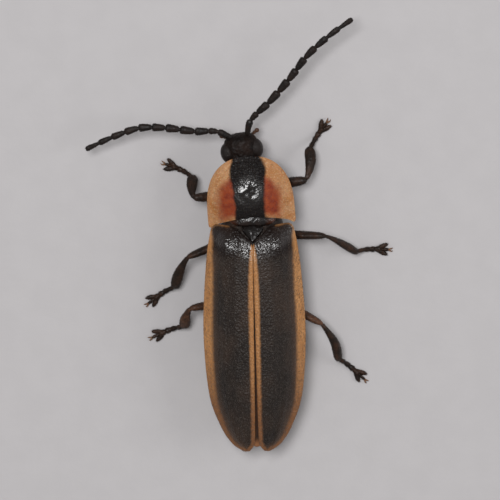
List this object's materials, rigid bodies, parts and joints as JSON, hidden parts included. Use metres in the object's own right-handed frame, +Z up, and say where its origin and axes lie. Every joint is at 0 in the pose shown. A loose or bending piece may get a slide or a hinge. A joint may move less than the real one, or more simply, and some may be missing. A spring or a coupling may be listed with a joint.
{
  "type": "firefly model",
  "caption": "Life-size firefly: a slender black beetle with tan-edged soft wing covers, a rosy neck shield, beaded feelers and splayed legs.",
  "frame": {"origin": "on the floor under the middle of the whole outline, feelers and feet included", "axes": "+Y towards the tail, so the head faces -Y; +Z up; +X the animal's left"},
  "size_m": [0.0082, 0.012, 0.002],
  "materials": {
    "body_cuticle": "satin black shell",
    "wing_cover": "finely granular black-brown with tan edges",
    "neck_shield": "translucent amber with a dark middle band",
    "leg_cuticle": "bristly dark brown",
    "feeler_cuticle": "bristly dark brown",
    "eye": "faceted gloss black",
    "belly_cuticle": "satin dark brown",
    "lantern": "waxy cream"
  },
  "bodies": {
    "root": {"abdomen_segment_1": "belly_cuticle", "abdomen_segment_2": "belly_cuticle", "abdomen_segment_3": "belly_cuticle", "abdomen_segment_4": "belly_cuticle", "abdomen_segment_7": "belly_cuticle", "abdomen_tip": "belly_cuticle", "antenna_left_base": "feeler_cuticle", "antenna_left_end": "feeler_cuticle", "antenna_left_middle": "feeler_cuticle", "antenna_right_base": "feeler_cuticle", "antenna_right_end": "feeler_cuticle", "antenna_right_middle": "feeler_cuticle", "elytron_left": "wing_cover", "elytron_right": "wing_cover", "eye_left": "eye", "eye_right": "eye", "head": "body_cuticle", "lantern_front": "lantern", "lantern_rear": "lantern", "leg_front_left_coxa": "leg_cuticle", "leg_front_left_femur": "leg_cuticle", "leg_front_left_tarsus": "leg_cuticle", "leg_front_left_tibia": "leg_cuticle", "leg_front_right_coxa": "leg_cuticle", "leg_front_right_femur": "leg_cuticle", "leg_front_right_tarsus": "leg_cuticle", "leg_front_right_tibia": "leg_cuticle", "leg_hind_left_coxa": "leg_cuticle", "leg_hind_left_femur": "leg_cuticle", "leg_hind_left_tarsus": "leg_cuticle", "leg_hind_left_tibia": "leg_cuticle", "leg_hind_right_coxa": "leg_cuticle", "leg_hind_right_femur": "leg_cuticle", "leg_hind_right_tarsus": "leg_cuticle", "leg_hind_right_tibia": "leg_cuticle", "leg_middle_left_coxa": "leg_cuticle", "leg_middle_left_femur": "leg_cuticle", "leg_middle_left_tarsus": "leg_cuticle", "leg_middle_left_tibia": "leg_cuticle", "leg_middle_right_coxa": "leg_cuticle", "leg_middle_right_femur": "leg_cuticle", "leg_middle_right_tarsus": "leg_cuticle", "leg_middle_right_tibia": "leg_cuticle", "mandible_left": "feeler_cuticle", "mandible_right": "feeler_cuticle", "mesonotum": "body_cuticle", "mesothorax": "body_cuticle", "metathorax": "body_cuticle", "neck": "body_cuticle", "palp_left": "feeler_cuticle", "palp_right": "feeler_cuticle", "pronotum": "neck_shield", "prothorax": "body_cuticle", "scutellum": "body_cuticle"}
  },
  "joints": []
}
